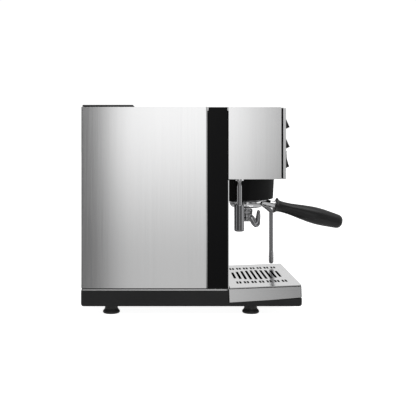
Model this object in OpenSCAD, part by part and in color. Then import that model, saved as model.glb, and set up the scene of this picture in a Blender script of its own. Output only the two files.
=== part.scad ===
// Single-group espresso machine, as an assembly of separate pieces.
// +Z up, front faces -Y, the user's left is -X. Feet stand on z = 0.

/* [Body] */
// Overall width of the casing
body_w = 250; // [246:1:254]
// Height of the casing above the table, to the top edge of the side panels
body_h = 386; // [384:0.5:387]
// Thickness of the steel sheet
sheet = 1.5; // [1.2:0.1:1.6]
// Height of the rubber feet
foot_h = 16; // [15:0.5:16]
// Height of the top of the black base above the table
base_top = 45; // [44.5:0.1:45]

/* [Drip tray] */
// Upward pitch of the tray towards the front, in degrees
tray_pitch = 2.2; // [2:0.1:2.4]
// Height of the grate's top above the foot of the tray
tray_h = 27.2; // [26.4:0.2:27.4]
// Number of long slots in the grate
slot_count = 10; // [6:1:10]
// Width of each slot
slot_w = 5; // [3:0.5:6]

/* [Group] */
// Distance of the group axis in front of the rear face
group_y = 321; // [320:0.5:322]
// Radius of the portafilter bowl
bowl_r = 34.4; // [34.2:0.1:34.6]
// Slope of the portafilter handle below horizontal, in degrees
handle_slope = 14.6; // [13.6:0.1:15]
// Length of the handle grip
grip_len = 141; // [138:1:141]

/* [Controls] */
// Travel of the round buttons
button_travel = 1.2; // [0.8:0.1:1.4]
// Distance between the rocker switches
rocker_pitch = 37; // [36.6:0.1:37.4]
// Radius of the steam knob
knob_r = 19; // [16:0.5:20]

/* [Hidden] */
$fn = 64;

hw = body_w / 2;
depth_all = 515.34;           // rear face to the end of the handle
front_y = 380.5;              // front face of the control panel
steel = [0.74, 0.74, 0.75];
dark = [0.09, 0.09, 0.095];
plate_z = base_top;
panel_z = base_top + 4.5;
head_z = 251.6;
lid_axis = [4.1, 388.1];
gx = 0;
tray_y = 275.5;
tray_z = 23;
base_slope = 3.5;
tray_foot = base_slope - tray_pitch;
rocker_x = -99;
rocker_z = 324.5;
rocker_piv = 2;
wand = [90, 352, 238];
wand_fwd = 32;
wand_bend = [199, 173.5];
hot = [-110, 295, 249.5];
knob_x = 78;
inlet = [-80, 31.6];
knob_z = 318;

// The casing is drawn with its rear face on y = 0 and then centred
module place() { translate([0, depth_all / 2, 0]) children(); }

// Rounded rectangle about its centre
module rr(w, d, r) {
  square([w - 2 * r, d], center = true);
  square([w, d - 2 * r], center = true);
  for (sx = [-1, 1], sy = [-1, 1]) translate([sx * (w / 2 - r), sy * (d / 2 - r)]) circle(r);
}
// Plan outline from z0 up by h
module up(z0, h) { translate([0, 0, z0]) linear_extrude(h) children(); }
// Outline in y and z, extruded along x about x0
module side(w, x0 = 0) { translate([x0, 0, 0]) rotate([90, 0, 90]) linear_extrude(w, center = true) children(); }
// Outline in x and z, from y0 forwards by d
module ahead(y0, d) { translate([0, -y0, 0]) rotate([90, 0, 0]) linear_extrude(d) children(); }
module box(x0, x1, y0, y1, z0, z1) { translate([x0, -y1, z0]) cube([x1 - x0, y1 - y0, z1 - z0]); }
module on_group() { translate([gx, -group_y, 0]) children(); }
module on_tray() { translate([0, -tray_y, tray_z]) rotate([-tray_pitch, 0, 0]) children(); }
module sector(a0, a1, r) { polygon([[0, 0], for (i = [0:4]) let(a = a0 + (a1 - a0) * i / 4) [r * cos(a), r * sin(a)]]); }

/* ---- base ---- */
function tray_floor(y) = tray_z - 0.5 + (y - tray_y) * tan(base_slope);
module base_tub() {
  color(dark) place() difference() {
    side(body_w) polygon(concat([for (i = [0:8]) let(a = 90 - i * 11.25) [-5 + 5 * sin(a), foot_h + 5 - 5 * cos(a)]],
      [for (i = [0:8]) let(a = i * 11.25) [-405 - 5 * sin(a), foot_h + 5 - 5 * cos(a)]],
      [[-410, tray_floor(410)], [-274, tray_floor(274)], [-274, base_top], [0, base_top]]));
    box(-hw + 3, hw - 3, 3, 271, foot_h + 3, base_top + 1);
    box(-hw + 3, hw - 3, 277, 407, foot_h + 3, base_top + 1);
    for (sx = [-1, 1], y = [55, 317]) translate([sx * 105, -y, foot_h - 1]) cylinder(r = 2.5, h = 6);
    ahead(-1, 2.6) translate([inlet[0], inlet[1]]) rr(31.4, 24.4, 3);
    ahead(1, 4) translate([inlet[0], inlet[1]]) rr(27.4, 20.4, 3);
    for (x = [-60:30:60]) box(x - 9, x + 9, 120, 124, foot_h - 1, foot_h + 4);
    for (x = [-60:30:60]) box(x - 9, x + 9, 132, 136, foot_h - 1, foot_h + 4);
  }
}
module rubber_feet() {
  color([0.05, 0.05, 0.05]) place() for (sx = [-1, 1], y = [55, 317]) translate([sx * 105, -y, 0]) difference() {
    rotate_extrude() { polygon([[0, 0], [13.5, 0], [16, 2.5], [16, 4], [13, 7.5], [12, 10], [12, foot_h], [0, foot_h]]);
      translate([13.5, 2.5]) circle(2.5); }
    translate([0, 0, -1]) cylinder(r = 6, h = 7);
    translate([0, 0, 5]) cylinder(r = 2.5, h = foot_h);
  }
}
module foot_screws() {
  color(steel) place() for (sx = [-1, 1], y = [55, 317]) translate([sx * 105, -y, 0]) {
    translate([0, 0, 6]) cylinder(r = 2.45, h = foot_h + 1.1);
    difference() {
      translate([0, 0, 3.4]) cylinder(r = 5, h = 2.6);
      translate([0, 0, 3]) box(-4, 4, -0.6, 0.6, 0, 1.6);
    }
  }
}
module chassis_plate() {
  color(steel) place() difference() {
    up(plate_z, 2.5) translate([0, -136.6]) rr(body_w - 1.4, 272.4, 3);
    translate([-62, -160, plate_z - 1]) cylinder(r = 8, h = 5);
    translate([0, -50, plate_z - 1]) cylinder(r = 12, h = 5);
    for (x = [30:14:100]) box(x - 2.5, x + 2.5, 180, 240, plate_z - 1, plate_z + 4);
  }
}
module base_seal() {
  color([0.03, 0.03, 0.03]) place() difference() {
    up(plate_z + 2.5, 2) translate([0, -136.8]) rr(body_w - 3, 271.4, 3);
    up(plate_z + 2, 3) translate([0, -136.8]) rr(body_w - 13, 261.4, 2);
  }
}

/* ---- casing ---- */
module side_sheet() {
  difference() {
    up(panel_z, body_h - panel_z) intersection() {
      difference() {
        translate([0, -117.5]) rr(body_w, 235, 3);
        translate([0, -117.5]) rr(body_w - 2 * sheet, 235 - 2 * sheet, sheet);
      }
      translate([-hw - 1, -236]) square([14, 237]);
    }
    // hem slot along the foot of the sheet
    box(-hw + 4, -hw + 14, 20, 220, panel_z - 1, panel_z + 6);
    // room for the top cover
    box(-hw + 1.6, -hw + 15, 98.8, 236, 378.8, body_h + 1);
  }
  // tabs that take the screws of the rear panel
  for (z = [66, 215, 372]) difference() {
    box(-hw + sheet - 0.2, -hw + 24, 3.4, 4.9, z - 7, z + 7);
    translate([-106, 0, z]) rotate([90, 0, 0]) cylinder(r = 1.6, h = 8);
  }
  // stiffening ribs folded from the same sheet
  box(-hw + sheet - 0.2, -hw + 9, 60, 61.5, panel_z + 40, body_h - 60);
  box(-hw + sheet - 0.2, -hw + 9, 170, 171.5, panel_z + 40, body_h - 60);
}
module left_side_panel() { color(steel) place() side_sheet(); }
module right_side_panel() { color(steel) place() mirror([1, 0, 0]) side_sheet(); }
module rear_panel() {
  color(steel) place() difference() {
    ahead(1.7, sheet) translate([0, (panel_z + 384) / 2]) rr(244, 384 - panel_z, 2);
    for (sx = [-1, 1], i = [0:8]) ahead(0, 6) translate([sx * 52, 290 - i * 11]) rr(70, 4, 1.9);
    for (sx = [-1, 1], z = [66, 215, 372]) translate([sx * 106, 0, z]) rotate([90, 0, 0]) cylinder(r = 1.5, h = 6);
  }
}
module casing_screws() {
  color([0.6, 0.6, 0.62]) place() for (sx = [-1, 1], z = [66, 215, 372]) translate([sx * 106, 0, z]) rotate([90, 0, 0]) difference() {
    union() { translate([0, 0, 0.3]) cylinder(r = 3, h = 1.4); translate([0, 0, 0.5]) cylinder(r = 1.45, h = 5.9); }
    translate([-2.2, -0.4, -0.1]) cube([4.4, 0.8, 1.1]);
    translate([-0.4, -2.2, -0.1]) cube([0.8, 4.4, 1.1]);
  }
}
module strip_sheet() {
  difference() {
    up(panel_z, body_h - 0.5 - panel_z) difference() {
      union() { translate([-hw + 0.7, -272.9]) square([14, 37.4]); }
      translate([-hw + 3.2, -270.4]) square([13, 32.4]);
    }
    box(-hw, -hw + 30, 235, 236.6, body_h - 7, body_h + 1);
    box(-hw, -hw + 30, 271.9, 273, body_h - 7, body_h + 1);
    box(-hw + 1.6, -hw + 30, 235, 273, 378.8, body_h + 1);
  }
}
module left_column_strip() { color([0.06, 0.06, 0.065]) place() strip_sheet(); }
module right_column_strip() { color([0.06, 0.06, 0.065]) place() mirror([1, 0, 0]) strip_sheet(); }
module top_cover() {
  color(steel) place() difference() {
    up(379.2, 6.5) translate([0, -235.3]) rr(246.4, 272.4, 2);
    up(380.7, 6) translate([0, -235.3]) rr(224, 250, 8);
    difference() {
      up(378, 6.2) translate([0, -235.3]) rr(243.4, 269.4, 2);
      up(377, 8) translate([0, -235.3]) rr(227, 253, 9.5);
    }
    for (x = [-75:50:75], y = [130:30:340]) translate([x, -y, 378]) linear_extrude(4) rr(34, 4, 1.9);
  }
}
module head_shell() {
  color(steel) place() difference() {
    union() {
      up(head_z, 385.6 - head_z) difference() {
        translate([-hw + 0.7, -372]) square([body_w - 1.4, 98]);
        translate([-hw + 0.7 + sheet, -373]) square([body_w - 1.4 - 2 * sheet, 97.5]);
        translate([-hw + 15, -370]) square([body_w - 30, 98]);
      }
      up(head_z, sheet) translate([-hw + 0.7, -372]) square([body_w - 1.4, 98]);
    }
    box(-hw + 1.6, hw - 1.6, 273, 371.8, 378.8, body_h + 1);
    on_group() translate([0, 0, head_z - 1]) cylinder(r = 44.5, h = 5);
    translate([wand[0], -wand[1], head_z - 1]) cylinder(r = 9.5, h = 5);
    translate([hot[0], -hot[1], head_z - 1]) cylinder(r = 8.5, h = 5);
    for (x = [-60, 60], y = [290, 350]) translate([x, -y, head_z - 1]) cylinder(r = 2, h = 5);
  }
}
module front_seal() {
  color([0.03, 0.03, 0.03]) place() ahead(372, 3.5) translate([0, 318.8]) difference() {
    rr(body_w - 5, 130.6, 2);
    rr(body_w - 15, 121, 2);
  }
}
module front_panel() {
  color(steel) place() difference() {
    ahead(375.5, 5) translate([0, 318.4]) rr(body_w - 1.4, 133.2, 2);
    ahead(374, 5) translate([0, 318.4]) rr(body_w - 1.4 - 2 * sheet, 133.2 - 2 * sheet, 1);
    ahead(374, 8) translate([rocker_x, rocker_z]) rr(24.4, 3 * rocker_pitch - 0.6, 1);
    ahead(374, 8) translate([0, 338]) rr(72.4, 36.4, 2);
    for (sx = [-1, 1]) translate([sx * 17, -374, 296]) rotate([90, 0, 0]) cylinder(r = 4.9, h = 8);
    translate([knob_x, -374, knob_z]) rotate([90, 0, 0]) cylinder(r = 4.8, h = 8);
  }
}
module back_splash() {
  color(steel) place() difference() {
    ahead(273.3, 1.4) translate([0, (panel_z + 250) / 2]) rr(body_w - 2, 250 - panel_z, 1);
    for (sx = [-1, 1]) translate([sx * 100, -272, 235]) rotate([90, 0, 0]) cylinder(r = 2, h = 5);
  }
}
// Bow-fronted box with a slight draft, open at the back
module cowl_block(o, z0, z1) {
  intersection() {
    translate([0, -265.8, 0]) rotate_extrude() polygon([[0, z0], [107.8 - o, z0], [110 - o, z1], [0, z1]]);
    box(-98 + o, 98 - o, 275.3, 385, z0 - 1, z1 + 1);
  }
}
module group_cowl() {
  color([0.05, 0.05, 0.05]) place() difference() {
    cowl_block(0, 208.8, head_z - 0.2);
    cowl_block(2.5, 211.3, head_z + 1);
    on_group() translate([0, 0, 200]) cylinder(r = 45, h = 20);
  }
}

/* ---- water tank ---- */
module tank_bulkhead() {
  color(steel) place() {
    box(-118, 118, 98.7, 100.2, panel_z, 378);
    box(-118, 118, 98.7, 108, panel_z, panel_z + 1.5);
  }
}
module water_tank() {
  color([0.55, 0.68, 0.75, 0.5]) place() difference() {
    union() {
      up(62, 322.4) translate([0, -50]) rr(220, 86, 8);
      up(384.3, 1.7) translate([0, -50.5]) rr(238, 92.6, 4);
      for (sx = [-1, 1]) {
        box(sx * 60 - 5, sx * 60 + 5, lid_axis[0] - 1.85, lid_axis[0] + 1.85, 385, lid_axis[1]);
        translate([sx * 60 - 5, -lid_axis[0], lid_axis[1]]) rotate([0, 90, 0]) cylinder(r = 1.85, h = 10);
      }
      translate([0, -50, 56]) cylinder(r = 14, h = 8);
    }
    up(64.5, 330) translate([0, -50]) rr(215, 81, 5.5);
    translate([0, -50, 50]) cylinder(r = 6, h = 20);
    for (sx = [-1, 1]) translate([sx * 60 - 6, -lid_axis[0], lid_axis[1]]) rotate([0, 90, 0]) cylinder(r = 1.05, h = 12);
  }
}
module tank_lid() {
  color([0.05, 0.05, 0.055]) place() difference() {
    union() {
      difference() {
        side(246) {
          polygon([[-lid_axis[0], 386.2], [-98, 386.2], [-98, 388], [-96, 390], [-lid_axis[0], 390]]);
          translate([-lid_axis[0], lid_axis[1]]) circle(1.9);
        }
        for (sx = [-1, 1]) translate([sx * 123, -50, 390]) rotate([0, 45, 0]) cube([2.6, 120, 2.6], center = true);
        for (sx = [-1, 1]) box(sx * 60 - 5.4, sx * 60 + 5.4, 0, 8, 380, 392);
        // finger hollow at the front edge
        translate([0, -99, 394]) sphere(r = 12);
      }
      difference() {
        up(381.5, 5) translate([0, -50]) rr(211, 77, 4);
        up(381, 5.2) translate([0, -50]) rr(206, 72, 2);
      }
      for (sx = [-1, 1]) translate([sx * 60 - 7, -lid_axis[0], lid_axis[1]]) rotate([0, 90, 0]) cylinder(r = 1, h = 14);
    }
  }
}
module tank_outlet_valve() {
  color([0.85, 0.85, 0.82]) place() translate([0, -50, 0]) difference() {
    union() {
      translate([0, 0, 53.5]) cylinder(r = 5.9, h = 17);
      translate([0, 0, 64.6]) cylinder(r = 9, h = 3);
    }
    translate([0, 0, 50]) cylinder(r = 3, h = 30);
  }
}
module tank_dock() {
  color([0.15, 0.15, 0.16]) place() translate([0, -50, 0]) difference() {
    union() {
      translate([0, 0, plate_z + 2.5]) cylinder(r = 20, h = 3);
      translate([0, 0, plate_z - 9]) cylinder(r = 11.5, h = 13);
    }
    translate([0, 0, plate_z - 4]) cylinder(r = 6.4, h = 20);
    translate([0, 0, plate_z - 12]) cylinder(r = 3, h = 20);
  }
}

/* ---- controls ---- */
module switch_frame() {
  color([0.04, 0.04, 0.045]) place() difference() {
    union() {
      ahead(front_y, 1.2) translate([rocker_x, rocker_z]) rr(27, 3 * rocker_pitch + 2, 2);
      ahead(360, 20.6) translate([rocker_x, rocker_z]) rr(24, 3 * rocker_pitch - 2, 1);
    }
    for (i = [-1:1]) ahead(362, 30) translate([rocker_x, rocker_z + i * rocker_pitch]) rr(19, 34, 0.5);
    for (i = [-1:1]) translate([rocker_x, -front_y + rocker_piv, rocker_z + i * rocker_pitch]) rotate([0, 90, 0]) cylinder(r = 1.55, h = 22.4, center = true);
  }
}
// Rocker: v up and u out from the panel face, with the pivot behind the face
module rocker(i, top_u, mid_u, tip_u) {
  color([0.02, 0.02, 0.02]) place() {
    side(18.4, rocker_x) intersection() {
      translate([-front_y, rocker_z + i * rocker_pitch]) polygon([[6, 12], [-top_u, 16.6], [-mid_u, 3], [-tip_u + 1.6, -9.6], [-tip_u, -12.7], [-1, -16.4], [6, -12]]);
      translate([-front_y + rocker_piv, rocker_z + i * rocker_pitch]) circle(17.5);
    }
    translate([rocker_x, -front_y + rocker_piv, rocker_z + i * rocker_pitch]) rotate([0, 90, 0]) cylinder(r = 1.5, h = 21.6, center = true);
  }
}
module top_rocker() { rocker(1, 1.2, 2.6, 9.7); }
module middle_rocker() { rocker(0, 1.2, 2.6, 9.7); }
module bottom_rocker() { rocker(-1, 3.6, 4.2, 9.2); }
module display_frame() {
  color([0.06, 0.06, 0.065]) place() difference() {
    union() {
      ahead(front_y, 1.2) translate([0, 338]) rr(78, 42, 4);
      ahead(368, 13) translate([0, 338]) rr(72, 36, 2);
    }
    ahead(379.7, 3) translate([0, 338]) rr(62.2, 26.2, 2);
    ahead(370, 9) translate([0, 338]) rr(64, 28, 2);
    ahead(378, 3) translate([0, 338]) rr(58, 22, 1);
  }
}
module display_lens() {
  color([0.1, 0.12, 0.14, 0.6]) place() ahead(379.8, 1.5) translate([0, 338]) rr(62, 26, 2);
}
module round_button(x) {
  color([0.1, 0.1, 0.105]) place() translate([x, 0, 296]) rotate([90, 0, 0]) {
    translate([0, 0, 372]) cylinder(r = 4.5, h = front_y + 2 - 372);
    translate([0, 0, 375.4]) cylinder(r = 6.2, h = 3.6 - 0.3);
  }
}
module up_button() { round_button(-17); }
module down_button() { round_button(17); }
module steam_knob() {
  color([0.05, 0.05, 0.05]) place() translate([knob_x, 0, knob_z]) rotate([90, 0, 0]) difference() {
    union() {
      rotate_extrude() {
        polygon([[0, 382.5], [knob_r - 4, 382.5], [knob_r, 386], [knob_r - 1, 402], [knob_r - 3, 406], [0, 407]]);
      }
    }
    for (a = [0:30:330]) rotate(a) translate([knob_r + 1.6, 0, 380]) cylinder(r = 3, h = 30);
    translate([0, 0, 380]) cylinder(r = 4, h = 20);
  }
}
module steam_valve_stem() {
  color(steel) place() translate([knob_x, 0, knob_z]) rotate([90, 0, 0]) {
    translate([0, 0, 340]) cylinder(r = 4, h = 59.9);
  }
}
module steam_valve_body() {
  color([0.78, 0.62, 0.3]) place() difference() {
    union() {
      translate([knob_x, 0, knob_z]) rotate([90, 0, 0]) translate([0, 0, 326]) cylinder(r = 11, h = 42);
      translate([knob_x, 0, knob_z]) rotate([90, 0, 0]) translate([0, 0, 338]) cylinder(r = 14, h = 8, $fn = 6);
      translate([knob_x, -334, knob_z - 30]) cylinder(r = 7, h = 30);
    }
    translate([knob_x, 0, knob_z]) rotate([90, 0, 0]) translate([0, 0, 339]) cylinder(r = 4.05, h = 40);
    translate([knob_x, -334, knob_z - 32]) cylinder(r = 3, h = 34);
  }
}

/* ---- group and portafilter ---- */
module group_head() {
  color([0.8, 0.8, 0.81]) place() on_group() difference() {
    union() {
      translate([0, 0, 209.6]) cylinder(r = 43.5, h = 43.7);
      translate([0, 0, head_z + 1.6]) cylinder(r = 50, h = 8);
    }
    difference() {
      union() {
        translate([0, 0, 204]) cylinder(r = 36.6, h = 26.4);
        translate([0, 0, 211.2]) cylinder(r = 40.6, h = 8.6);
        intersection() {
          translate([0, 0, 204]) cylinder(r = 40.6, h = 9);
          up(203, 12) { sector(-67, -23, 60); sector(113, 157, 60); }
        }
      }
      translate([0, 0, 224]) cylinder(r = 27.8, h = 10);
    }
    translate([0, 0, 222]) cylinder(r = 2.5, h = 14);
    for (a = [45:90:315]) rotate(a) translate([14, 0, 220]) cylinder(r = 2, h = 60);
    for (a = [0:90:270]) rotate(a) translate([46.5, 0, 250]) cylinder(r = 2.2, h = 14);
  }
}
module group_gasket() {
  color([0.02, 0.02, 0.02]) place() on_group() difference() {
    translate([0, 0, 222.8]) cylinder(r = 36.4, h = 7.6);
    translate([0, 0, 222]) cylinder(r = 28.6, h = 10);
  }
}
module shower_screen() {
  color(steel) place() on_group() difference() {
    translate([0, 0, 222.8]) cylinder(r = 28.2, h = 1);
    translate([0, 0, 222]) cylinder(r = 2.5, h = 3);
    for (q = [[8, 9], [14, 15], [20, 21], [25, 27]], k = [0:q[1] - 1]) rotate(k * 360 / q[1]) translate([q[0], 0, 222]) cylinder(r = 0.9, h = 3, $fn = 16);
  }
}
module shower_screw() {
  color(steel) place() on_group() difference() {
    union() { translate([0, 0, 221.4]) cylinder(r1 = 3.4, r2 = 4, h = 1.4); translate([0, 0, 222.6]) cylinder(r = 2.45, h = 12); }
    box(-3, 3, -0.5, 0.5, 221, 222.2);
  }
}
module on_handle() { translate([0, -378, 193.7]) rotate([90 + handle_slope, 0, 0]) children(); }
module portafilter_body() {
  color([0.8, 0.8, 0.81]) place() difference() {
    union() {
      on_group() {
        rotate_extrude() {
          polygon([[0, 189], [bowl_r - 11, 189], [bowl_r - 7, 192], [bowl_r, 200], [bowl_r, 201.5], [bowl_r - 1, 202.5], [bowl_r - 1, 211], [bowl_r, 212.2], [36.2, 212.2], [36.2, 221.6], [0, 221.6]]);
          translate([bowl_r - 11, 200]) circle(11);
        }
        translate([0, 0, 161]) cylinder(r = 8.7, h = 30);
        difference() {
          translate([0, 0, 212.2]) cylinder(r = 40.1, h = 6.2);
          up(210, 12) { sector(17, 90, 60); sector(90, 163, 60); sector(197, 270, 60); sector(270, 343, 60); }
        }
      }
      on_handle() {
        translate([0, 0, -32]) cylinder(r = 7.2, h = 32);
        translate([0, 0, -2.2]) cylinder(r = 9, h = 2.2);
        translate([0, 0, -1]) cylinder(r = 5, h = 46);
      }
    }
    on_group() {
      translate([0, 0, 194]) cylinder(r = 30.4, h = 37);
      translate([0, 0, 191]) cylinder(r = 25, h = 4);
      translate([0, 0, 213.4]) rotate_extrude() translate([30.3, 0]) circle(0.75, $fn = 32);
      translate([0, 0, 150]) cylinder(r = 3, h = 60);
      translate([0, 0, 155]) cylinder(r = 6.6, h = 14);
    }
  }
}
module filter_basket() {
  color(steel) place() on_group() difference() {
    union() {
      translate([0, 0, 194]) cylinder(r = 29.6, h = 28);
      translate([0, 0, 221.6]) cylinder(r = 35, h = 0.8);
    }
    translate([0, 0, 194.8]) cylinder(r = 28.8, h = 40);
    for (q = [[5, 6], [11, 12], [17, 18], [23, 24]], k = [0:q[1] - 1]) rotate(k * 360 / q[1]) translate([q[0], 0, 193]) cylinder(r = 0.8, h = 3, $fn = 16);
  }
}
module basket_spring() {
  color(steel) place() on_group() translate([0, 0, 213.4]) difference() {
    rotate_extrude() translate([30.3, 0]) circle(0.6, $fn = 32);
    translate([0, 30, 0]) cube([6, 10, 4], center = true);
  }
}
module spout_leaf(x) {
  side(8, x) {
    polygon([[-326, 163], [-326, 180], [-332, 177], [-333.8, 173], [-335.5, 169.6], [-336.7, 166.6], [-338.7, 163.4], [-339.9, 167.6], [-341.5, 174.6],
      [-342.5, 180.6], [-343.9, 183.1], [-345.9, 183.9], [-347.3, 182.4], [-348.1, 179.7], [-348.5, 172.6], [-347.5, 165.6], [-345.9, 159.6], [-343.3, 153.6],
      [-340.7, 149.5], [-338.1, 147.7], [-334.7, 150.5], [-331.9, 155.6], [-330, 161.6], [-328, 163]]);
  }
}
module twin_spout() {
  color([0.75, 0.75, 0.76]) place() difference() {
    union() {
      for (sx = [-1, 1]) spout_leaf(sx * 9);
      on_group() rotate_extrude() polygon([[0, 162.4], [10.8, 162.4], [12.3, 164], [12.3, 184.6], [11.4, 186], [0, 186]]);
    }
    on_group() translate([0, 0, 150]) cylinder(r = 8.7, h = 60);
    for (sx = [-1, 1]) translate([sx * 9, -338.5, 145]) cylinder(r = 1.8, h = 24);
  }
}
module handle_grip() {
  g = grip_len;
  color([0.03, 0.03, 0.03]) place() on_handle() difference() {
    rotate_extrude() polygon([[0, 0.2], [14.4, 0.2], [15.5, 0.5], [15.7, 1.2], [15.7, 2], [14.3, 3.8], [12.6, 5.6], [11.6, 7.6], [11.2, 11], [11, 16], [11.05, 22], [11.6, 32], [12.9, 43], [14.2, 53], [15.5, 64], [16.6, 75], [17.1, 84], [17.1, 92], [16.7, 100], [16.1, 108], [15.4, 116], [14.8, 122], [14.3, g - 13], [13.6, g - 8.5], [12.4, g - 5.3], [10.2, g - 2.8], [7, g - 0.9], [3.5, g - 0.2], [0, g]]);
    translate([0, 0, -1]) cylinder(r = 5, h = 46.2);
  }
}

/* ---- hot water and steam ---- */
module hot_water_collar() {
  color([0.8, 0.8, 0.81]) place() translate([hot[0], -hot[1], 0]) difference() {
    union() { translate([0, 0, 248.4]) cylinder(r = 9.2, h = head_z - 248.4); translate([0, 0, 248.4]) cylinder(r = 8.4, h = 12.2); }
    translate([0, 0, hot[2]]) sphere(r = 6.3);
    translate([0, 0, 240]) cylinder(r = 5.7, h = hot[2] - 240);
    translate([0, 0, 250]) cylinder(r = 3, h = 20);
  }
}
module hot_water_tube() {
  color([0.62, 0.62, 0.63]) place() translate([hot[0], -hot[1], 0]) difference() {
    union() {
      translate([0, 0, hot[2]]) sphere(r = 6);
      translate([0, 0, 238]) cylinder(r1 = 5.2, r2 = 3.3, h = 9);
      translate([0, 0, 156]) cylinder(r = 5.2, h = 82);
    }
    translate([0, 0, 150]) cylinder(r = 2.2, h = 120);
  }
}
module hot_water_sleeve() {
  color([0.2, 0.2, 0.21]) place() translate([hot[0], -hot[1], 0]) difference() {
    rotate_extrude() {
      polygon([[0, 153.2], [6, 153.2], [9.35, 156.5], [9.35, 202.5], [8.4, 203.5], [0, 203.5]]);
      translate([6, 156.55]) circle(3.35);
    }
    translate([0, 0, 156]) cylinder(r = 5.2, h = 60);
    translate([0, 0, 150]) cylinder(r = 3.4, h = 20);
  }
}
module steam_collar() {
  color([0.8, 0.8, 0.81]) place() translate([wand[0], -wand[1], 0]) difference() {
    translate([0, 0, 247]) cylinder(r = 14, h = head_z - 247);
    translate([0, 0, 240]) cylinder(r = 9.05, h = 30);
  }
}
module steam_swivel() {
  color([0.8, 0.8, 0.81]) place() translate([wand[0], -wand[1], 0]) difference() {
    union() {
      translate([0, 0, 231.5]) cylinder(r = 11.5, h = 15.2);
      translate([0, 0, 246]) cylinder(r = 9, h = 12);
    }
    translate([0, 0, wand[2]]) sphere(r = 8.3);
    translate([0, 0, 228]) cylinder(r = 7.6, h = 10);
    translate([0, 0, 245]) cylinder(r = 3, h = 20);
  }
}
module steam_wand() {
  k = wand_fwd;
  drop = wand_bend[0] - wand_bend[1];
  color([0.72, 0.72, 0.73]) place() translate([wand[0], -wand[1], 0]) {
    translate([0, 0, wand[2]]) sphere(r = 8);
    translate([0, 0, wand_bend[0]]) cylinder(r = 4.6, h = 232 - wand_bend[0]);
    translate([0, 0, wand_bend[0]]) sphere(r = 4.9);
    translate([0, 0, wand_bend[0]]) rotate([90 + atan2(drop, k), 0, 0]) cylinder(r = 4.6, h = sqrt(k * k + drop * drop));
    translate([0, -k, wand_bend[1]]) sphere(r = 4.9);
    translate([0, -k, 86]) cylinder(r = 4.6, h = wand_bend[1] - 86);
  }
}
module steam_tip() {
  color([0.8, 0.8, 0.81]) place() translate([wand[0], -wand[1] - wand_fwd, 0]) difference() {
    rotate_extrude() polygon([[0, 61], [3, 61], [4.5, 62.2], [5.3, 64.6], [5.4, 74], [5.1, 86], [4.9, 88], [0, 88]]);
    translate([0, 0, 86]) cylinder(r = 4.6, h = 3);
    translate([0, 0, 64]) cylinder(r = 1.6, h = 30);
    for (a = [0:90:270]) rotate([0, 0, a]) translate([0, 0, 66]) rotate([0, 130, 0]) cylinder(r = 0.7, h = 10, $fn = 16);
  }
}

/* ---- drip tray ---- */
tw = body_w - 1;
td = 135.7;
// Rounded at the front corners, nearly square at the back
module tray_outline(o) {
  translate([0, -td / 2]) rr(tw - 2 * o, td - 2 * o, 3.2 - o * 0.6);
  translate([0, -12]) rr(tw - 2 * o, 24 - 2 * o, 0.6);
}
// Side outline that starts c above the sloped foot of the tray, which rises a little more near the front
module tray_body(o, c, top) {
  k = tan(tray_foot);
  intersection() {
    up(0, top) tray_outline(o);
    side(tw + 2) polygon([[1, c - k], [-75, 75 * k + c], [-td - 1, (td + 1) * k + 1.3 + c], [-td - 1, top + 1], [1, top + 1]]);
  }
}
module drip_tray() {
  color(steel) place() on_tray() difference() {
    tray_body(0, 0, tray_h - 2.8);
    tray_body(1.2, 1.2, tray_h + 5);
  }
}
module tray_liner() {
  color([0.05, 0.05, 0.05]) place() on_tray() difference() {
    tray_body(1.3, 1.3, tray_h - 1.52);
    tray_body(3.3, 3, tray_h + 5);
  }
}
module tray_grate() {
  color([0.82, 0.82, 0.83]) place() on_tray() difference() {
    up(tray_h - 1.5, 1.5) tray_outline(0.3);
    // clear of the back splash
    translate([-tw, -2.2, tray_h - 4]) cube([2 * tw, 10, 8]);
    for (i = [0:slot_count - 1]) {
      t = (i - (slot_count - 1) / 2) / ((slot_count - 1) / 2);
      translate([0, -(20.5 + i * 90 / (slot_count - 1)), tray_h - 4]) linear_extrude(6) rr(2 * (52 - 18 * t * t), slot_w, slot_w / 2 - 0.1);
    }
    for (sx = [-1, 1], i = [0:6], k = [-1, 1]) translate([sx * 76, -(23.4 + i * 14.6 + k * 2.9), tray_h - 4]) linear_extrude(6) rr(23, 3.9, 1.8);
  }
}

/* ---- inside ---- */
module brew_boiler() {
  color([0.72, 0.45, 0.2]) place() on_group() difference() {
    union() {
      translate([0, 0, head_z + 9.7]) cylinder(r = 46, h = 6);
      translate([0, 0, head_z + 14]) cylinder(r = 38, h = 74);
      translate([0, 0, head_z + 86]) cylinder(r1 = 38, r2 = 26, h = 8);
    }
    translate([0, 0, head_z + 12]) cylinder(r = 36, h = 74);
    translate([0, 0, head_z]) cylinder(r = 3, h = 20);
    translate([0, 0, head_z + 80]) cylinder(r = 5, h = 20);
    for (a = [0, 180]) rotate(a) translate([15, 0, head_z + 80]) cylinder(r = 3.1, h = 20);
  }
}
module steam_boiler() {
  color([0.72, 0.45, 0.2]) place() translate([-62, -165, 0]) difference() {
    union() {
      translate([0, 0, 60]) cylinder(r1 = 34, r2 = 48, h = 12);
      translate([0, 0, 72]) cylinder(r = 48, h = 130);
      translate([0, 0, 202]) cylinder(r1 = 48, r2 = 34, h = 12);
      translate([0, 0, panel_z]) cylinder(r = 26, h = 12);
    }
    translate([0, 0, 74]) cylinder(r = 46, h = 126);
    translate([0, 0, 195]) cylinder(r = 5, h = 30);
    for (a = [0, 180]) rotate(a) translate([23, 0, 190]) cylinder(r = 3.1, h = 40);
  }
}
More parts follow.
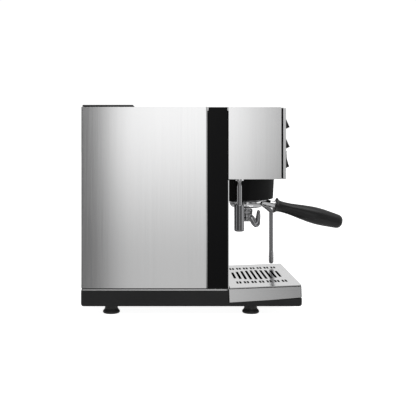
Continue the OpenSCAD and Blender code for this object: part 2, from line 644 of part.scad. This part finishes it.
module heating_elements() {
  color([0.6, 0.6, 0.62]) place() {
    on_group() translate([0, 0, head_z + 85]) {
      translate([0, 0, -60]) difference() { cylinder(r = 18, h = 50); translate([0, 0, -1]) cylinder(r = 12, h = 52); }
      for (a = [0, 180]) rotate(a) translate([15, 0, -12]) cylinder(r = 3, h = 28);
    }
    translate([-62, -165, 80]) {
      difference() { cylinder(r = 26, h = 60); translate([0, 0, -1]) cylinder(r = 20, h = 62); }
      for (a = [0, 180]) rotate(a) translate([23, 0, 55]) cylinder(r = 3, h = 90);
    }
  }
}
module water_pump() {
  color([0.25, 0.25, 0.27]) place() translate([60, -150, 0]) {
    box(-24, 24, -30, 30, 62, 108);
    translate([0, -29, 85]) rotate([90, 0, 0]) cylinder(r = 14, h = 26);
    translate([0, 48.5, 85]) rotate([90, 0, 0]) cylinder(r = 9, h = 20);
    for (y = [-22, 22]) box(-20, 20, y - 5, y + 5, panel_z - 2, 63);
  }
}
module solenoid_valve() {
  color([0.35, 0.35, 0.37]) place() {
    translate([-72, -318, 0]) { box(-15, 15, -18, 18, head_z + 12, head_z + 44); translate([0, 0, head_z + 1.5]) cylinder(r = 9, h = 11); }
  }
}
module water_pipes() {
  color([0.75, 0.5, 0.3]) place() {
    // pump outlet up to the brew boiler
    translate([60, -211, 85]) {
      sphere(r = 4.6);
      cylinder(r = 4, h = 270);
    }
    translate([60, -205.1, 85]) rotate([90, 0, 0]) cylinder(r = 4, h = 5.9);
    translate([60, -211, 355]) { sphere(r = 4.6); rotate([90, 0, 0]) cylinder(r = 4, h = 63); }
    translate([60, -274, 355]) sphere(r = 4.6);
    // steam boiler up to the valve
    translate([-62, -165, 214]) cylinder(r = 4, h = 90);
    translate([-62, -165, 304]) sphere(r = 4.6);
    translate([-62, -165, 304]) rotate([0, 90, 0]) cylinder(r = 4, h = 96);
    translate([34, -165, 304]) sphere(r = 4.6);
  }
}
module control_board() {
  color([0.1, 0.35, 0.2]) place() {
    box(105, 106.6, 120, 250, 200, 340);
    box(92, 105, 135, 165, 215, 245);
    box(98, 105, 180, 235, 220, 260);
    box(96, 105, 140, 160, 290, 320);
    for (y = [180:14:236]) translate([105, -y, 300]) rotate([0, -90, 0]) cylinder(r = 5, h = 12);
    box(106.6, 123.4, 130, 133, 210, 213);
    box(106.6, 121.7, 242, 245, 327, 330);
  }
}
module power_inlet() {
  color([0.03, 0.03, 0.03]) place() {
    difference() {
      union() { ahead(0.1, 1.5) translate(inlet) rr(31, 24, 3); ahead(1.5, 20) translate(inlet) rr(27, 20, 3); }
      ahead(-1, 18) translate(inlet) rr(24, 16.6, 3);
    }
    for (dx = [-7, 0, 7]) ahead(4, 14) translate([inlet[0] + dx, inlet[1] + (dx == 0 ? 2 : -2)]) square([2, 4], center = true);
  }
}

base_tub();
rubber_feet();
foot_screws();
chassis_plate();
base_seal();
left_side_panel();
right_side_panel();
rear_panel();
left_column_strip();
right_column_strip();
top_cover();
head_shell();
front_seal();
front_panel();
back_splash();
group_cowl();
casing_screws();
tank_bulkhead();
water_tank();
tank_lid();
tank_outlet_valve();
tank_dock();
switch_frame();
top_rocker();
middle_rocker();
bottom_rocker();
display_frame();
display_lens();
up_button();
down_button();
steam_knob();
steam_valve_stem();
steam_valve_body();
group_head();
group_gasket();
shower_screen();
shower_screw();
portafilter_body();
filter_basket();
basket_spring();
twin_spout();
handle_grip();
hot_water_collar();
hot_water_tube();
hot_water_sleeve();
steam_collar();
steam_swivel();
steam_wand();
steam_tip();
drip_tray();
tray_liner();
tray_grate();
brew_boiler();
steam_boiler();
heating_elements();
water_pump();
solenoid_valve();
water_pipes();
control_board();
power_inlet();
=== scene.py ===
"""Espresso machine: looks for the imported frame."""
import math
import bpy, bmesh
from mathutils import Vector, Matrix


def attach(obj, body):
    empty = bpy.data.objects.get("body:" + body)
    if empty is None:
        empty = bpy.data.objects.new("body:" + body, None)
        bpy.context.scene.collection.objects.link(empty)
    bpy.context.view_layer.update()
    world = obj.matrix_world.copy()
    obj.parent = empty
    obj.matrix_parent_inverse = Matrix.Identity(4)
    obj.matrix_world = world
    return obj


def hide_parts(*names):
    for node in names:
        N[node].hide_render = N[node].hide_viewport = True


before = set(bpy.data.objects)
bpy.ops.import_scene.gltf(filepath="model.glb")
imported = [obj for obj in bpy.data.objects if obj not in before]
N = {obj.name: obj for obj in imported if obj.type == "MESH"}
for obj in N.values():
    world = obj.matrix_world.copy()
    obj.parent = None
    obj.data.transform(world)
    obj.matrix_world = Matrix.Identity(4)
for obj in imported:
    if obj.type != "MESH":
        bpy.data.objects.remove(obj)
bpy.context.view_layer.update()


# ------------------------------------------------------------------ materials
def new_mat(name):
    m = bpy.data.materials.new(name)
    m.use_nodes = True
    nt = m.node_tree
    bsdf = nt.nodes["Principled BSDF"]
    return m, nt, bsdf


def coords(nt, scale, rot=(0, 0, 0)):
    tc = nt.nodes.new("ShaderNodeTexCoord")
    mp = nt.nodes.new("ShaderNodeMapping")
    mp.inputs["Scale"].default_value = scale
    mp.inputs["Rotation"].default_value = rot
    nt.links.new(tc.outputs["Object"], mp.inputs["Vector"])
    return mp.outputs["Vector"]


def noise(nt, vec, scale=1.0, detail=2.0, rough=0.5):
    n = nt.nodes.new("ShaderNodeTexNoise")
    n.inputs["Scale"].default_value = scale
    n.inputs["Detail"].default_value = detail
    n.inputs["Roughness"].default_value = rough
    nt.links.new(vec, n.inputs["Vector"])
    return n.outputs["Fac"]


def span(nt, fac, lo, hi, a=0.3, b=0.7):
    r = nt.nodes.new("ShaderNodeMapRange")
    r.inputs["From Min"].default_value = a
    r.inputs["From Max"].default_value = b
    r.inputs["To Min"].default_value = lo
    r.inputs["To Max"].default_value = hi
    nt.links.new(fac, r.inputs["Value"])
    return r.outputs["Result"]


def ramp(nt, fac, c0, c1, p0=0.3, p1=0.7):
    r = nt.nodes.new("ShaderNodeValToRGB")
    r.color_ramp.elements[0].position = p0
    r.color_ramp.elements[0].color = (*c0, 1)
    r.color_ramp.elements[1].position = p1
    r.color_ramp.elements[1].color = (*c1, 1)
    nt.links.new(fac, r.inputs["Fac"])
    return r.outputs["Color"]


def bump(nt, height, bsdf, strength, dist=0.001, chain=None):
    b = nt.nodes.new("ShaderNodeBump")
    b.inputs["Strength"].default_value = strength
    b.inputs["Distance"].default_value = dist
    nt.links.new(height, b.inputs["Height"])
    if chain is not None:
        nt.links.new(chain, b.inputs["Normal"])
    if bsdf is not None:
        nt.links.new(b.outputs["Normal"], bsdf.inputs["Normal"])
    return b.outputs["Normal"]


def brushed(name, grain="z", base=0.72, rough=0.2, depth=0.05):
    """Brushed stainless steel: long fine scratches along one axis, with broader streaks and faint handling marks."""
    m, nt, b = new_mat(name)
    long, fine = 9.0, 1500.0
    sc = {"x": (long, fine, fine), "y": (fine, long, fine), "z": (fine, fine, long)}[grain]
    br = {"x": (1.6, 90, 90), "y": (90, 1.6, 90), "z": (90, 90, 1.6)}[grain]
    f = noise(nt, coords(nt, sc), 1.0, 3.0, 0.6)
    g = noise(nt, coords(nt, br), 1.0, 2.0, 0.5)
    h = noise(nt, coords(nt, (5, 5, 5)), 1.0, 3.0, 0.5)
    mix = nt.nodes.new("ShaderNodeMath")
    mix.operation = "MULTIPLY_ADD"
    nt.links.new(f, mix.inputs[0])
    mix.inputs[1].default_value = 0.9
    nt.links.new(span(nt, g, 0.42, 0.56), mix.inputs[2])
    c = ramp(nt, mix.outputs[0], (base * 0.965, base * 0.965, base * 0.97), (base * 1.03, base * 1.03, base * 1.033), 0.6, 1.25)
    nt.links.new(c, b.inputs["Base Color"])
    b.inputs["Metallic"].default_value = 1.0
    rr = nt.nodes.new("ShaderNodeMath")
    rr.operation = "ADD"
    nt.links.new(span(nt, f, rough - 0.015, rough + 0.02), rr.inputs[0])
    nt.links.new(span(nt, h, -0.006, 0.008), rr.inputs[1])
    nt.links.new(rr.outputs[0], b.inputs["Roughness"])
    bump(nt, f, b, depth, 0.0004)
    return m


def plastic(name, col, rough=0.42, grain=900.0, depth=0.12, spec=0.5):
    """Moulded plastic: fine spark-eroded grain, slight colour and gloss drift."""
    m, nt, b = new_mat(name)
    v = coords(nt, (1, 1, 1))
    f = noise(nt, v, grain, 3.0, 0.6)
    g = noise(nt, v, 14.0, 3.0, 0.5)
    c = ramp(nt, g, tuple(x * 0.85 for x in col), tuple(x * 1.2 for x in col), 0.3, 0.7)
    nt.links.new(c, b.inputs["Base Color"])
    nt.links.new(span(nt, g, rough - 0.05, rough + 0.06), b.inputs["Roughness"])
    b.inputs["Specular IOR Level"].default_value = spec
    bump(nt, f, b, depth, 0.0002)
    return m


def polished(name, base=(0.8, 0.8, 0.81), rough=0.06):
    """Chrome plate: mirror bright with faint swirl marks and a slightly uneven skin."""
    m, nt, b = new_mat(name)
    v = coords(nt, (1, 1, 1))
    g = noise(nt, v, 35.0, 4.0, 0.6)
    f = noise(nt, v, 420.0, 2.0, 0.5)
    c = ramp(nt, g, tuple(x * 0.95 for x in base), base, 0.3, 0.7)
    nt.links.new(c, b.inputs["Base Color"])
    b.inputs["Metallic"].default_value = 1.0
    nt.links.new(span(nt, g, rough * 0.7, rough * 1.5), b.inputs["Roughness"])
    bump(nt, f, b, 0.02, 0.0002)
    return m


def cast(name, base, rough=0.35, metallic=1.0):
    m, nt, b = new_mat(name)
    v = coords(nt, (1, 1, 1))
    g = noise(nt, v, 60.0, 5.0, 0.6)
    c = ramp(nt, g, tuple(x * 0.75 for x in base), base, 0.3, 0.7)
    nt.links.new(c, b.inputs["Base Color"])
    b.inputs["Metallic"].default_value = metallic
    nt.links.new(span(nt, g, rough - 0.08, rough + 0.1), b.inputs["Roughness"])
    bump(nt, g, b, 0.15, 0.0005)
    return m


def clear(name, col, alpha, rough=0.15):
    m, nt, b = new_mat(name)
    g = noise(nt, coords(nt, (1, 1, 1)), 20.0, 2.0, 0.5)
    c = ramp(nt, g, tuple(x * 0.95 for x in col), col, 0.3, 0.7)
    nt.links.new(c, b.inputs["Base Color"])
    nt.links.new(span(nt, g, rough, rough + 0.06), b.inputs["Roughness"])
    b.inputs["Alpha"].default_value = alpha
    b.inputs["IOR"].default_value = 1.49
    return m


M = {
    "steel_v": brushed("steel_brushed_upright", "z", 0.80, 0.095, 0.012),
    # partly real, partly painted light: the tray's level grain and roughness are its own; its base colour, raised above
    # the panels' steel, is painted light that brightens the tray sides
    "steel_h": brushed("steel_brushed_level_painted_light", "y", 0.84, 0.18, 0.03),
    "steel_x": brushed("steel_brushed_across", "x", 0.74, 0.24),
    "steel_in": brushed("steel_plain_sheet", "y", 0.6, 0.38),
    "grate": brushed("steel_satin_polished", "x", 0.74, 0.16, 0.03),
    "coat": plastic("powder_coat_black", (0.004, 0.004, 0.0042), 0.42, 700, 0.12, 0.06),
    "base": plastic("base_coat_black", (0.012, 0.012, 0.0125), 0.45, 700, 0.12, 0.3),
    "strip": plastic("column_black", (0.0022, 0.0022, 0.0024), 0.2, 1200, 0.04, 0.1),
    "plastic": plastic("moulded_black", (0.009, 0.009, 0.0094), 0.36, 1100, 0.1, 0.3),
    "grip": plastic("grip_black", (0.009, 0.009, 0.0092), 0.34, 1400, 0.1, 0.4),
    "rubber": plastic("rubber_black", (0.018, 0.018, 0.018), 0.45, 500, 0.15, 0.4),
    "liner": plastic("liner_black", (0.012, 0.012, 0.012), 0.4, 800, 0.1, 0.3),
    "grey": plastic("moulded_grey", (0.09, 0.09, 0.095), 0.45, 900, 0.1),
    "nylon": plastic("nylon_natural", (0.7, 0.69, 0.64), 0.4, 600, 0.1),
    "board": plastic("circuit_lacquer", (0.01, 0.12, 0.05), 0.3, 300, 0.1),
    "chrome": polished("chrome_plate"),
    # painted shade: a much darker copy of the chrome for the hot-water sleeve, standing in for its dark reflections
    "sleeve_shaded_chrome": polished("chrome_painted_shade_sleeve", (0.3, 0.3, 0.31), 0.12),
    # painted shade: a darker copy of the chrome, standing in for the dark reflections on the wand, spouts and hot-water
    # tube
    "bright": polished("chrome_painted_dark_reflection", (0.4, 0.4, 0.41), 0.09),
    "brass": cast("brass_cast", (0.72, 0.53, 0.25)),
    "copper": cast("copper_tube", (0.78, 0.42, 0.26), 0.25),
    "tank": clear("tank_translucent", (0.6, 0.7, 0.76), 0.45),
    "lens": clear("lens_smoked", (0.02, 0.025, 0.03), 0.75, 0.05),
}

LOOK = {
    "steel_v": ["left_side_panel", "right_side_panel", "head_shell", "front_panel", "back_splash", "rear_panel"],
    # the drip tray takes the brightened steel: painted light
    "steel_h": ["drip_tray"],
    "steel_x": ["top_cover", "chassis_plate"],
    "grate": ["tray_grate"],
    "steel_in": ["tank_bulkhead", "foot_screws", "casing_screws", "steam_valve_stem", "shower_screen", "shower_screw", "filter_basket", "basket_spring", "heating_elements"],
    "base": ["base_tub"],
    "coat": ["group_cowl"],
    "strip": ["left_column_strip", "right_column_strip", "front_seal"],
    "plastic": ["tank_lid", "switch_frame", "top_rocker", "middle_rocker", "bottom_rocker", "display_frame", "up_button", "down_button", "steam_knob", "power_inlet", "tank_dock"],
    "grip": ["handle_grip"],
    "rubber": ["rubber_feet", "base_seal", "group_gasket"],
    "liner": ["tray_liner"],
    "grey": ["water_pump", "solenoid_valve"],
    "nylon": ["tank_outlet_valve"],
    "board": ["control_board"],
    "chrome": ["group_head", "portafilter_body", "hot_water_collar", "steam_collar", "steam_swivel"],
    # painted shade: these chrome parts take the darkened chrome copy in place of dark reflections
    "bright": ["hot_water_tube", "twin_spout", "steam_wand", "steam_tip"],
    # painted shade: the sleeve takes the darkened chrome copy
    "sleeve_shaded_chrome": ["hot_water_sleeve"],
    "brass": ["steam_valve_body", "brew_boiler", "steam_boiler"],
    "copper": ["water_pipes"],
    "tank": ["water_tank"],
    "lens": ["display_lens"],
}


def paint(o, m):
    o.data.materials.clear()
    o.data.materials.append(m)
    for p in o.data.polygons:
        p.material_index = 0


for key, names in LOOK.items():
    for n in names:
        paint(N[n], M[key])


# ------------------------------------------------------------------ edges of the carried-over nodes
def soften(name, width, segs=2, angle=32):
    o = N[name]
    for p in o.data.polygons:
        p.use_smooth = True
    w = o.modifiers.new("weld", "WELD")
    w.merge_threshold = 0.00002
    b = o.modifiers.new("edge", "BEVEL")
    b.width = width
    b.segments = segs
    b.limit_method = "ANGLE"
    b.angle_limit = math.radians(angle)
    b.use_clamp_overlap = True
    b.harden_normals = False
    n = o.modifiers.new("normals", "WEIGHTED_NORMAL")
    n.keep_sharp = False


EDGE = {
    0.0005: ["left_side_panel", "head_shell", "front_panel", "back_splash", "chassis_plate", "base_seal", "front_seal"],
    0.0007: ["drip_tray"],
    0.0008: ["base_tub", "left_column_strip", "right_column_strip", "display_frame", "group_cowl", "rubber_feet"],
    0.0006: ["tank_lid", "switch_frame", "top_rocker", "middle_rocker", "bottom_rocker", "up_button", "down_button"],
    0.00035: ["portafilter_body", "handle_grip", "hot_water_collar", "hot_water_tube", "hot_water_sleeve", "steam_collar",
              "steam_swivel", "steam_tip", "group_head", "steam_knob", "water_tank", "tray_liner", "power_inlet", "water_pump", "solenoid_valve",
              "steam_valve_body", "control_board", "tank_bulkhead"],
    0.00025: ["right_side_panel", "tray_grate", "top_cover", "rear_panel", "filter_basket", "steam_wand", "brew_boiler", "steam_boiler", "heating_elements", "water_pipes",
              "display_lens", "tank_outlet_valve", "tank_dock", "group_gasket"],
}
for width, names in EDGE.items():
    for n in names:
        soften(n, width)

# ------------------------------------------------------------------ double spout, with round hooks in place of the flat ones
FRONT = 257.67


def place(x, y, z):
    return Vector((x, FRONT - y, z)) * 0.001


def smooth_path(pts, steps=6):
    out = []
    for i in range(len(pts) - 1):
        p0, p1, p2, p3 = pts[max(i - 1, 0)], pts[i], pts[i + 1], pts[min(i + 2, len(pts) - 1)]
        for k in range(steps):
            t = k / steps
            out.append(tuple(0.5 * (2 * b + (c - a_) * t + (2 * a_ - 5 * b + 4 * c - d) * t * t + (3 * b - a_ - 3 * c + d) * t ** 3)
                             for a_, b, c, d in zip(p0, p1, p2, p3)))
    return out + [pts[-1]]


def hook(bm, x, sections, around=24):
    """A bar of oval section along a path of (y, z, half thickness, half width)."""
    path = smooth_path(sections)
    rings = []
    for i, (y, z, t, w) in enumerate(path):
        a_, b = path[max(i - 1, 0)], path[min(i + 1, len(path) - 1)]
        d = Vector((b[0] - a_[0], b[1] - a_[1])).normalized()
        n = Vector((-d.y, d.x))
        ring = []
        for k in range(around):
            q = 2 * math.pi * k / around
            c, s_ = math.cos(q), math.sin(q)
            e = 0.8
            c, s_ = math.copysign(abs(c) ** e, c), math.copysign(abs(s_) ** e, s_)
            ring.append(bm.verts.new(place(x + w * s_, y + n.x * t * c, z + n.y * t * c)))
        rings.append(ring)
    for r0, r1 in zip(rings, rings[1:]):
        for k in range(around):
            bm.faces.new((r0[k], r0[(k + 1) % around], r1[(k + 1) % around], r1[k]))
    bm.faces.new(list(reversed(rings[0])))
    bm.faces.new(rings[-1])


def lathe(bm, x, y, profile, around=64):
    rings = []
    for r, z in profile:
        rings.append([bm.verts.new(place(x + r * math.cos(2 * math.pi * k / around), y + r * math.sin(2 * math.pi * k / around), z)) for k in range(around)])
    for r0, r1 in zip(rings, rings[1:] + rings[:1]):
        for k in range(around):
            bm.faces.new((r0[k], r0[(k + 1) % around], r1[(k + 1) % around], r1[k]))


def piece(name, build, mat, sharp=40):
    bm = bmesh.new()
    build(bm)
    bmesh.ops.recalc_face_normals(bm, faces=bm.faces)
    for f in bm.faces:
        f.smooth = True
    for e in bm.edges:
        if len(e.link_faces) == 2 and e.calc_face_angle() > math.radians(sharp):
            e.smooth = False
    me = bpy.data.meshes.new(name)
    bm.to_mesh(me)
    bm.free()
    o = bpy.data.objects.new(name, me)
    bpy.context.scene.collection.objects.link(o)
    me.materials.append(mat)
    return o


HOOK = [(328.7, 169.5, 6.2, 3.6), (331.6, 166.4, 6.0, 3.9), (334.6, 161.4, 5.6, 4.0), (336.9, 157.4, 5.9, 4.0), (339.4, 156.0, 6.6, 4.0), (341.8, 158.2, 5.8, 4.0),
        (343.9, 164.2, 3.9, 4.0), (344.9, 171.0, 3.3, 3.8), (345.3, 177.5, 2.6, 3.3), (345.9, 181.6, 1.7, 2.5), (346.1, 183.4, 0.7, 1.1)]


def build_spout(bm):
    lathe(bm, 0, 321, [(8.75, 162.6), (10.4, 162.45), (11.4, 162.8), (12.1, 163.6), (12.3, 164.6), (12.3, 168.2), (11.9, 168.8), (11.9, 180.2), (12.3, 180.8),
                       (12.3, 184.6), (12.0, 185.5), (11.3, 186.0), (8.75, 186.0)])
    for sx in (-1, 1):
        hook(bm, sx * 9, HOOK)


# the spout takes the darkened chrome copy: painted shade for its dark reflections
spout = piece("twin_spout_round", build_spout, M["bright"])
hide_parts("twin_spout")
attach(spout, "portafilter")

# ------------------------------------------------------------------ camera
scene = bpy.context.scene
cam = bpy.data.objects.new("camera", bpy.data.cameras.new("camera"))
scene.collection.objects.link(cam)
scene.camera = cam
cam.location = (-1.475, 0.10183, 0.3153)
cam.rotation_mode = "QUATERNION"
cam.rotation_quaternion = Vector((1, 0, 0)).to_track_quat("-Z", "Y")
cam.data.sensor_width = 36.0
cam.data.lens = 62.97
cam.data.shift_x = 43.0 / 416.0
cam.data.shift_y = -63.0 / 416.0
cam.data.clip_start, cam.data.clip_end = 0.05, 60

# ------------------------------------------------------------------ stage and light
floor_mesh = bpy.data.meshes.new("floor")
floor_mesh.from_pydata([(-30, -30, 0), (30, -30, 0), (30, 30, 0), (-30, 30, 0)], [], [(0, 1, 2, 3)])
floor = bpy.data.objects.new("floor", floor_mesh)
floor.location.z = -0.0002
scene.collection.objects.link(floor)
fm, fnt, fb = new_mat("floor_pale")
fv = coords(fnt, (1, 1, 1))
fnt.links.new(ramp(fnt, noise(fnt, fv, 2.0), (0.9, 0.9, 0.9), (0.94, 0.94, 0.94)), fb.inputs["Base Color"])
fb.inputs["Roughness"].default_value = 0.9
fb.inputs["Specular IOR Level"].default_value = 0.0
fb.inputs["Emission Color"].default_value = (1, 1, 1, 1)
fb.inputs["Emission Strength"].default_value = 0.93
floor_mesh.materials.append(fm)
floor.visible_glossy = False

world = bpy.data.worlds.new("studio")
scene.world = world
world.use_nodes = True
wn = world.node_tree
wn.nodes.clear()


def wmath(op, a, b=None, c=None, clamp=False):
    n = wn.nodes.new("ShaderNodeMath")
    n.operation = op
    n.use_clamp = clamp
    for i, x in enumerate((a, b, c)):
        if x is None:
            continue
        if hasattr(x, "is_output") or hasattr(x, "links"):
            wn.links.new(x, n.inputs[i])
        else:
            n.inputs[i].default_value = x
    return n.outputs[0]


def wstep(x, a, b, lo, hi):
    n = wn.nodes.new("ShaderNodeMapRange")
    n.interpolation_type = "SMOOTHSTEP"
    n.inputs["From Min"].default_value = a
    n.inputs["From Max"].default_value = b
    n.inputs["To Min"].default_value = lo
    n.inputs["To Max"].default_value = hi
    wn.links.new(x, n.inputs["Value"])
    return n.outputs["Result"]


tc = wn.nodes.new("ShaderNodeTexCoord")
sep = wn.nodes.new("ShaderNodeSeparateXYZ")
wn.links.new(tc.outputs["Generated"], sep.inputs[0])
dx, dy, dz = sep.outputs
ax = wmath("MAXIMUM", wmath("ABSOLUTE", dx), 0.0005)
az = wmath("MULTIPLY", wmath("ARCTAN2", dy, ax), 180 / math.pi)
el = wmath("MULTIPLY", wmath("ARCSINE", dz), 180 / math.pi)
u = wmath("DIVIDE", dy, ax)
v = wmath("DIVIDE", dz, ax)


def wmix(f, a, b):
    """a where f is 0, b where f is 1."""
    return wmath("ADD", wmath("MULTIPLY", a, wmath("SUBTRACT", 1.0, f)), wmath("MULTIPLY", b, f))


# a broad lit screen on each side, soft at its rear and front edges and dimmer low down
rear = wstep(u, 0.05, 0.115, 1.0, 0.08)
front = wmath("MULTIPLY", wstep(u, -0.19, -0.07, 0.42, 1.0), wstep(u, -0.36, -0.2, 0.1, 1.0))
tall = wstep(v, -0.17, 0.06, 0.6, 1.15)
side = wmath("MULTIPLY", wmath("MULTIPLY", rear, front), tall)
side = wmath("MULTIPLY", side, wstep(v, 0.35, 0.6, 1.0, 0.16))
beyond = wstep(el, 0.0, 8.0, 0.2, 0.8)
beyond = wmath("MULTIPLY", beyond, wstep(el, 28.0, 45.0, 1.0, 0.2))
side = wmix(wstep(dx, 0.0, 0.08, 0, 1), side, beyond)
# a tall screen in front, a dimmer one behind, a panel above the front and a dark ceiling
window = wmath("MULTIPLY", wstep(el, -16, -6, 0, 1), wstep(el, 30, 45, 1, 0))
frontscreen = wmath("MULTIPLY", wstep(az, -72, -58, 1.0, 0.0), window)
rearscreen = wmath("MULTIPLY", wstep(az, 60, 75, 0.0, 0.6), window)
above = wmath("MULTIPLY", wstep(dz, 0.55, 0.8, 0.0, 1.0), wstep(dy, -0.45, -0.05, 1.0, 0.16))
low = wstep(el, -32, -15, 0.5, 0.0)
corners = wmath("MULTIPLY", wmath("MULTIPLY", wstep(az, -34, -26, 0.42, 0.0), wstep(az, -60, -50, 0.4, 1.0)), window)
lum = wmath("MAXIMUM", wmath("MAXIMUM", side, wmath("MAXIMUM", frontscreen, rearscreen)), wmath("MAXIMUM", above, wmath("MAXIMUM", low, wmath("MAXIMUM", corners, 0.16))))
lp = wn.nodes.new("ShaderNodeLightPath")
mixl = wn.nodes.new("ShaderNodeMix")
mixl.data_type = "FLOAT"
wn.links.new(lp.outputs["Is Camera Ray"], mixl.inputs["Factor"])
wn.links.new(lum, mixl.inputs[2])
mixl.inputs[3].default_value = 1.05
bg = wn.nodes.new("ShaderNodeBackground")
bg.inputs["Color"].default_value = (1, 1, 1, 1)
wn.links.new(mixl.outputs[0], bg.inputs["Strength"])
out = wn.nodes.new("ShaderNodeOutputWorld")
wn.links.new(bg.outputs[0], out.inputs["Surface"])


def area(name, loc, aim, size, power, sy=None):
    l = bpy.data.lights.new(name, "AREA")
    l.shape = "RECTANGLE"
    l.size = size
    l.size_y = sy or size
    l.energy = power
    o = bpy.data.objects.new(name, l)
    o.location = loc
    o.rotation_mode = "QUATERNION"
    o.rotation_quaternion = (Vector(aim) - Vector(loc)).to_track_quat("-Z", "Y")
    scene.collection.objects.link(o)
    o.visible_camera = False
    return o


area("overhead", (-0.5, -0.3, 1.9), (0, -0.05, 0.2), 1.2, 9)

scene.view_settings.view_transform = "Standard"
scene.view_settings.look = "None"
